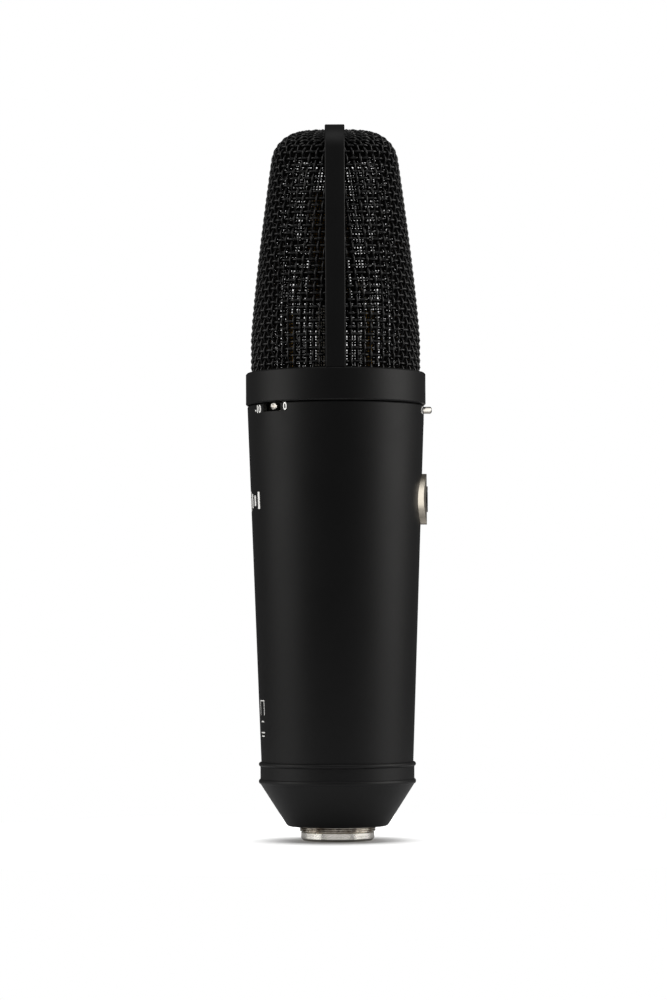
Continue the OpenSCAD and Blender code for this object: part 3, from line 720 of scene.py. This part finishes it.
def meet(a, b, c, pitch, inset):
    """The crossing one pitch away from both a and b, on the far side from c."""
    p = on_form(a + b - c, inset)
    for _ in range(ROUNDS):
        normal = outward(p, inset)
        east = normal.orthogonal().normalized()
        north = normal.cross(east)
        to_a, to_b = p - a, p - b
        short_a, short_b = pitch - to_a.length, pitch - to_b.length
        to_a.normalize()
        to_b.normalize()
        a_east, a_north = to_a.dot(east), to_a.dot(north)
        b_east, b_north = to_b.dot(east), to_b.dot(north)
        go_east = short_a * b_north - a_north * short_b
        go_north = a_east * short_b - b_east * short_a
        step = (east * go_east + north * go_north) / (a_east * b_north - a_north * b_east)
        step.length = min(step.length, pitch / 2)
        p = on_form(p + step, inset)
    return p


def march(p, way, pitch, inset, steps):
    """Crossings one pitch apart from p on, straight ahead over the form."""
    path = [p]
    for _ in range(steps):
        q = on_form(p + way * pitch, inset)
        for _ in range(ROUNDS // 2):
            q = on_form(p + (q - p).normalized() * pitch, inset)
        way, p = (q - p).normalized(), q
        path.append(q)
    return path


def drape(pitch, inset):
    """Rows of crossings for the right half of the rear shell, from the foot to the split."""
    first = on_form(Vector((0, MESH_R, MESH_FOOT_Z + pitch / 4)), inset)
    around = int(math.pi * MESH_R / 2 / pitch) + 2
    rows = [march(first, Vector((1, 0, 0)), pitch, inset, around)]
    upward = int((MESH_TOP_Z - MESH_FOOT_Z + MESH_R) / pitch) + 2
    for middle in march(first, Vector((0, 0, 1)), pitch, inset, upward)[1:]:
        if middle.y < 0:
            break
        row, below = [middle], rows[-1]
        for i in range(1, len(below)):
            row.append(meet(row[-1], below[i], below[i - 1], pitch, inset))
            if row[-1].y < -pitch:
                break
        rows.append(row)
    return rows


# %% [markdown]
# A wire isn't straight between its crossings: it rises over one wire and dips under the next.
# `woven` moves each crossing out or in by one wire radius, in turn, and smooths the path between.
# The left half mirrors the right one about the middle wire. Each path becomes a curve with a round
# bevel, and the curves become one mesh.

# %% Weaving
def smoothed(points, steps):
    """A smooth path through the points, with so many steps from each point to the next."""
    path = []
    for i in range(len(points) - 1):
        before, a, b, after = (points[min(max(k, 0), len(points) - 1)] for k in range(i - 1, i + 3))
        for s in range(steps):
            t = s / steps
            path.append(
                a
                + ((b - before) * t + (2 * before - 5 * a + 4 * b - after) * t**2) / 2
                + (3 * a - before - 3 * b + after) * t**3 / 2
            )
    return path + [points[-1]]


def wires(name, paths, radius, bevel_resolution):
    """One mesh of round wires along the paths."""
    curve = bpy.data.curves.new(name, "CURVE")
    curve.dimensions = "3D"
    curve.bevel_depth = radius * MM
    curve.bevel_resolution = bevel_resolution
    curve.use_fill_caps = True
    for path in paths:
        spline = curve.splines.new("POLY")
        spline.points.add(len(path) - 1)
        for point, place in zip(spline.points, path):
            point.co = (*(place * MM), 1)
    obj = bpy.data.objects.new(name, curve)
    bpy.context.scene.collection.objects.link(obj)
    return to_mesh(obj, name)


SPLIT = 0.4  # how far from the middle plane the wires of each shell are cut off


def woven(rows, side, radius, inset, steps):
    """Paths of all wires of one shell. side is -1 for the front and 1 for the rear."""
    reach = max(len(row) for row in rows) - 1

    def place(i, j, over):
        p = rows[j][abs(i)]
        p = p + outward(p, inset) * (radius if over else -radius)
        return Vector((-p.x if i < 0 else p.x, p.y * side, p.z))

    lines = [
        [place(i, j, (i + j) % 2) for i in range(-reach, reach + 1) if abs(i) < len(rows[j])]
        for j in range(len(rows))
    ]
    for i in range(-reach, reach + 1):
        line = [place(i, j, (i + j + 1) % 2) for j in range(len(rows)) if abs(i) < len(rows[j])]
        lines.append(line)
    paths = []
    for line in lines:
        path = [p for p in smoothed(line, steps) if p.y * side > SPLIT]
        if len(path) > 2:
            paths.append(path)
    return paths


# %% [markdown]
# The outer mesh is coarse and stiff: 0.74 mm wire, a crossing every 2.1 mm. Its middle lies one
# wire deep, so that the tops of the wires are where the CAD shell has its outside. Behind it a
# finer gauze of 0.36 mm wire breaks up breath pops, and closes most of the holes to the eye.

# %% Outer mesh
WIRE_SMOOTH = 75
OUTER_WIRE_R, OUTER_PITCH = 0.37, 2.1
outer_inset = 2 * OUTER_WIRE_R
outer_rows = drape(OUTER_PITCH, outer_inset)
for side, name in ((-1, "front"), (1, "rear")):
    paths = woven(outer_rows, side, OUTER_WIRE_R, outer_inset, 4)
    mesh = wires(f"woven_outer_mesh_{name}", paths, OUTER_WIRE_R, 1)
    hand_over(mesh, wire_lacquer, [f"outer_mesh_{name}"], WIRE_SMOOTH)

# %% Inner gauze
INNER_WIRE_R, INNER_PITCH, INNER_INSET = 0.18, 0.86, 2.05
inner_rows = drape(INNER_PITCH, INNER_INSET)
for side, name in ((-1, "front"), (1, "rear")):
    paths = woven(inner_rows, side, INNER_WIRE_R, INNER_INSET, 1)
    mesh = wires(f"woven_inner_gauze_{name}", paths, INNER_WIRE_R, 0)
    hand_over(mesh, gauze_lacquer, [f"inner_mesh_{name}"], WIRE_SMOOTH)

# %% [markdown]
# ## The strap
#
# A flat bar runs up one side of the head, over the top and down the other side, and covers the
# joint between the two shells. It is bent from bar stock with slightly rounded edges. The side
# view of the bar is one closed outline, so a flat curve draws it, `extrude` gives it its width
# and `bevel` rounds its edges. The foot of the strap stands on the collar.

# %% Strap
COLLAR_TOP_Z = end("head_collar", "z")
STRAP_W, STRAP_T = 2 * end("head_strap", "y"), round(end("head_strap", "z") - MESH_TOP_Z, 2)
STRAP_EDGE, CLEAR = 0.34, 0.02


def side_outline(inset, steps=20):
    """Half the outline of the head in the strap's plane, from the collar to the flat top."""
    r = CORNER_R - inset / 2
    bend_z = MESH_TOP_Z - inset - r
    heights = [COLLAR_TOP_Z + (bend_z - COLLAR_TOP_Z) * i / steps for i in range(steps)]
    heights += [bend_z + r * math.sin(math.pi / 2 * i / steps) for i in range(steps + 1)]
    return [(half_axes(z, inset)[0], z) for z in heights]


def bent_bar(name, outside, inside, width, edge):
    """A bar that follows the head between two insets, with its edges rounded."""
    outer, inner = side_outline(outside), side_outline(inside)
    loop = outer + [(-x, z) for x, z in reversed(outer)]
    loop += [(-x, z) for x, z in inner] + inner[::-1]
    curve = bpy.data.curves.new(name, "CURVE")
    curve.dimensions, curve.fill_mode = "2D", "BOTH"
    curve.extrude = (width / 2 - edge) * MM
    curve.bevel_depth, curve.bevel_resolution = edge * MM, 2
    curve.offset = -edge * MM
    spline = curve.splines.new("POLY")
    spline.points.add(len(loop) - 1)
    for point, (x, z) in zip(spline.points, loop):
        point.co = (x * MM, z * MM, 0, 1)
    spline.use_cyclic_u = True
    bar = bpy.data.objects.new(name, curve)
    bar.rotation_euler = (math.radians(90), 0, 0)
    bpy.context.scene.collection.objects.link(bar)
    bar = to_mesh(bar, name)
    modify(bar, "WELD", merge_threshold=0.01 * MM)
    take(bar)
    bpy.ops.object.mode_set(mode="EDIT")
    bpy.ops.mesh.select_all(action="SELECT")
    bpy.ops.mesh.normals_make_consistent(inside=False)
    bpy.ops.object.mode_set(mode="OBJECT")
    return bar


strap = bent_bar("bent_head_strap", -STRAP_T, -CLEAR, STRAP_W, STRAP_EDGE)
hand_over(strap, lacquer, replaces=["head_strap"])

# %% [markdown]
# Under the strap, where the two shells meet, the cut ends of the wires are run full of solder and
# painted. It makes a narrow solid edge, and no light comes through there.

# %% Soldered edge
SOLDER_W, SOLDER_TOP, SOLDER_DEPTH, SOLDER_EDGE = 2.6, 0.1, 1.5, 0.2
soldered = bent_bar("soldered_mesh_edge", SOLDER_TOP, SOLDER_DEPTH, SOLDER_W, SOLDER_EDGE)
hand_over(soldered, wire_lacquer)

# %% [markdown]
# ## Wires inside
#
# A fine lead runs from the centre of each membrane down to a terminal, and three thicker wires
# join the socket's pins to the transformer. Both ends of each are soldered. A real wire hangs in
# one smooth bow, so the same smoothing as in the mesh is used between a few places.

# %% Soft wires
LEAD_R, OUTPUT_WIRE_R, WIRE_STEPS = 0.35, 0.5, 8
# from the centre of each membrane outwards, down beside it and into the top of its terminal
LEADS = [
    [(0, -4.55, 185), (0.5, -5.6, 184.4), (2.5, -6.4, 176), (5, -10.6, 166), (5, -10.6, 164)],
    [(0, 8.55, 185), (0, 9.6, 184.4), (0, 10.4, 176), (0, 14, 166), (0, 14, 164)],
]
paths = [smoothed([Vector(p) for p in lead], WIRE_STEPS) for lead in LEADS]
mesh = wires("soft_capsule_leads", paths, LEAD_R, 3)
hand_over(mesh, insulation, replaces=["capsule_leads"], smooth=60)

PIN_CIRCLE_R, TAIL_Z, WIRE_GAP = 4.75, end("xlr_pins", "z"), 1.4
WALL_Y, COIL_Y = 17.5, 10.1
paths = []
for i in range(3):
    turn = math.radians(90 * i)
    tail = Vector((PIN_CIRCLE_R * math.cos(turn), PIN_CIRCLE_R * math.sin(turn), TAIL_Z))
    x = (1 - i) * WIRE_GAP
    # out towards the wall of the tube, up along it, and in to the face of the coil
    through = [(x, WALL_Y, 27), (x, WALL_Y, 33.6 + i), (x, COIL_Y, 38.6 + i)]
    points = [tail, tail + Vector((0, 0, 0.8)), *(Vector(p) for p in through)]
    paths.append(smoothed(points, WIRE_STEPS))
mesh = wires("soft_output_wires", paths, OUTPUT_WIRE_R, 2)
hand_over(mesh, insulation, replaces=["output_wires"], smooth=60)

# %% [markdown]
# ## Printed marks
#
# The marks round the switches are screen printed: flat white ink, a few hundredths thick. A text
# or a shape is made flat first, turned into a mesh and given its thickness. The tube is a cone,
# so each point is then wound onto it: sideways becomes an angle, and the radius is the tube's
# own at that height. (Blender's bend would do it by hand, but it needs a window.)

# %% Winding onto the tube
TUBE_FOOT_Z, TUBE_FOOT_R = 24.4, 23.6
TUBE_TOP_Z, TUBE_TOP_R = end("body_tube", "z"), 27.55
INK, SAME_POINT = 0.04, 0.001
COLUMN_W, LINE_STEP = 0.5, 0.45  # long marks are cut up about this finely, to follow the tube


def wind(obj, azimuth, z):
    """Winds a flat mesh, drawn about its own origin in millimetres, onto the tube."""
    for vertex in obj.data.vertices:
        across, up, out = vertex.co
        height = z + up
        share = (height - TUBE_FOOT_Z) / (TUBE_TOP_Z - TUBE_FOOT_Z)
        radius = TUBE_FOOT_R + (TUBE_TOP_R - TUBE_FOOT_R) * share + out
        angle = math.radians(azimuth) + across / radius
        vertex.co = Vector((radius * math.cos(angle), radius * math.sin(angle), height)) * MM
    return obj


def inked(obj, name, azimuth, z):
    """Gives a flat mesh the ink's thickness and winds it onto the tube."""
    take(obj)
    bpy.ops.object.mode_set(mode="EDIT")
    bpy.ops.mesh.select_all(action="SELECT")
    bpy.ops.mesh.remove_doubles(threshold=SAME_POINT)
    bpy.ops.mesh.extrude_region_move(TRANSFORM_OT_translate={"value": (0, 0, INK)})
    bpy.ops.mesh.select_all(action="SELECT")
    bpy.ops.mesh.normals_make_consistent(inside=False)
    bpy.ops.object.mode_set(mode="OBJECT")
    obj.name = obj.data.name = name
    wind(obj, azimuth, z)
    hand_over(obj, print_ink, smooth=30)
    small_things.objects.link(obj)


def ink_text(name, body, size, azimuth, z, squeeze=1.0, bold=0.0):
    """A printed number; bold thickens its strokes."""
    bpy.ops.object.text_add()
    text = bpy.context.object
    text.data.body = body
    text.data.size = size
    text.data.align_x, text.data.align_y = "CENTER", "CENTER"
    text.data.offset = bold
    text.scale = (squeeze, 1, 1)
    inked(to_mesh(text, name), name, azimuth, z)


def ink_bars(name, bars, azimuth, z):
    """Printed rectangles, each (middle across, middle up, width, height)."""
    bpy.ops.object.select_all(action="DESELECT")
    parts = []
    for across, up, width, height in bars:
        columns = max(1, round(width / COLUMN_W))
        bpy.ops.mesh.primitive_grid_add(x_subdivisions=columns, y_subdivisions=1, size=1)
        part = bpy.context.object
        part.scale = (width, height, 1)
        part.location = (across, up, 0)
        bpy.ops.object.transform_apply(location=True, rotation=True, scale=True)
        parts.append(part)
    for part in parts:
        part.select_set(True)
    bpy.ops.object.join()
    inked(bpy.context.object, name, azimuth, z)


def in_short_steps(shape):
    """A closed line with points close enough together to follow the tube."""
    line = []
    for here, there in zip(shape, shape[1:] + shape[:1]):
        parts = max(1, round(math.dist(here, there) / LINE_STEP))
        line += [[a + (b - a) * i / parts for a, b in zip(here, there)] for i in range(parts)]
    return line


def ink_outlines(name, shapes, stroke, azimuth, z):
    """Printed closed lines, each a list of (across, up), as wide as the stroke."""
    # Where a curve's fill puts triangles of no area along a straight side, the inset finds no
    # width there, and that stretch isn't printed. It happens on the frame's lower side and under
    # the level part of the bass-cut line. A filled mesh without such triangles would mend it.
    curve = bpy.data.curves.new(name, "CURVE")
    curve.dimensions, curve.fill_mode = "2D", "BOTH"
    for shape in shapes:
        line = in_short_steps(shape)
        spline = curve.splines.new("POLY")
        spline.points.add(len(line) - 1)
        for point, (across, up) in zip(spline.points, line):
            point.co = (across, up, 0, 1)
        spline.use_cyclic_u = True
    drawn = bpy.data.objects.new(name, curve)
    bpy.context.scene.collection.objects.link(drawn)
    drawn = to_mesh(drawn, name)
    take(drawn)
    bpy.ops.object.mode_set(mode="EDIT")
    bpy.ops.mesh.select_all(action="SELECT")
    bpy.ops.mesh.remove_doubles(threshold=SAME_POINT)
    bpy.ops.mesh.inset(thickness=stroke, depth=0)
    bpy.ops.mesh.delete(type="FACE")
    bpy.ops.object.mode_set(mode="OBJECT")
    inked(drawn, name, azimuth, z)


def round_line(radius, across=0, up=0, steps=32, notch=0):
    """A circle of points; a notch above 0 dents it at the top, as a heart is dented."""
    line = []
    for i in range(steps):
        turn = 2 * math.pi * i / steps
        reach = radius * (1 - notch * max(0, math.sin(turn)) ** 3)
        line.append((across + reach * math.cos(turn), up + reach * math.sin(turn)))
    return line


# %% [markdown]
# The rear switch on one side lowers the level, so it stands between a 0 and a -10. The other one
# cuts the bass, so it stands between a flat line and a line that falls away. On the front, three
# small signs round the notch show how the microphone hears: all round, to the front, and to both
# sides.

# %% Marks at the switches
FIGURE_SIZE, LINE_T, LINE_HALF_W = 3.3, 0.4, 2.1
ink_text("mark_zero", "0", FIGURE_SIZE, azimuth=145.6, z=133.3, squeeze=0.8, bold=0.03)
ink_text("mark_minus_ten", "-10", FIGURE_SIZE, azimuth=119.3, z=133, squeeze=0.85, bold=0.06)
ink_bars("mark_flat", [(0, 0, 2 * LINE_HALF_W, LINE_T)], azimuth=59, z=133.2)
FALLING = [
    (-LINE_HALF_W, -1.2),
    (-LINE_HALF_W + LINE_T, -1.2),
    (-0.5, LINE_T),
    (LINE_HALF_W, LINE_T),
    (LINE_HALF_W, 2 * LINE_T),
    (-0.7, 2 * LINE_T),
]
# a stroke of nearly half the line's thickness fills it where it runs along both sides
ink_outlines("mark_bass_cut", [FALLING], stroke=0.19, azimuth=33, z=133.2)

SIGN_R, HALF_SIGN_R, SIGN_STROKE, SIGN_Z = 1.1, 0.75, 0.26, 133.1
UP = HALF_SIGN_R + 0.03
# azimuth, height and outlines
PATTERN_SIGNS = {
    "mark_all_round": (-103, SIGN_Z, [round_line(SIGN_R)]),
    "mark_to_the_front": (-90, SIGN_Z - 3.2, [round_line(SIGN_R, notch=0.6)]),
    "mark_both_sides": (-77, SIGN_Z, [round_line(HALF_SIGN_R, 0, up) for up in (UP, -UP)]),
}
for name, (azimuth, z, shapes) in PATTERN_SIGNS.items():
    ink_outlines(name, shapes, SIGN_STROKE, azimuth, z)

# %% [markdown]
# The back carries a plain row of level bars, the same to the left and to the right. Near the foot
# there is an empty frame, open below, with three dashes under it.

# %% Marks on the back
BAR_W, BAR_STEP, BARS_Z = 1.2, 3.0, 105.1
BAR_HEIGHTS = (3.8, 6.2, 4.4, 3.2, 5.3)  # from the middle outwards
ink_bars(
    "mark_level_bars",
    [(i * BAR_STEP, 0, BAR_W, BAR_HEIGHTS[abs(i)]) for i in range(-4, 5)],
    azimuth=90,
    z=BARS_Z,
)
LOW_AZIMUTH, FRAME_Z, FRAME_STROKE, FRAME_X, FRAME_Y = 107.5, 41.3, 0.3, 2, 2.3
corners = [(-FRAME_X, -FRAME_Y), (FRAME_X, -FRAME_Y), (FRAME_X, FRAME_Y), (-FRAME_X, FRAME_Y)]
ink_outlines("mark_frame", [corners], FRAME_STROKE, LOW_AZIMUTH, FRAME_Z)
# how far under the first dash each one lies, and its width
DASHES, DASHES_Z, DASH_T = [(0, 2.4), (3.4, 3.2), (4.5, 2.4)], 37, 0.4
ink_bars(
    "mark_dashes",
    [(0, -down, width, DASH_T) for down, width in DASHES],
    LOW_AZIMUTH,
    DASHES_Z,
)
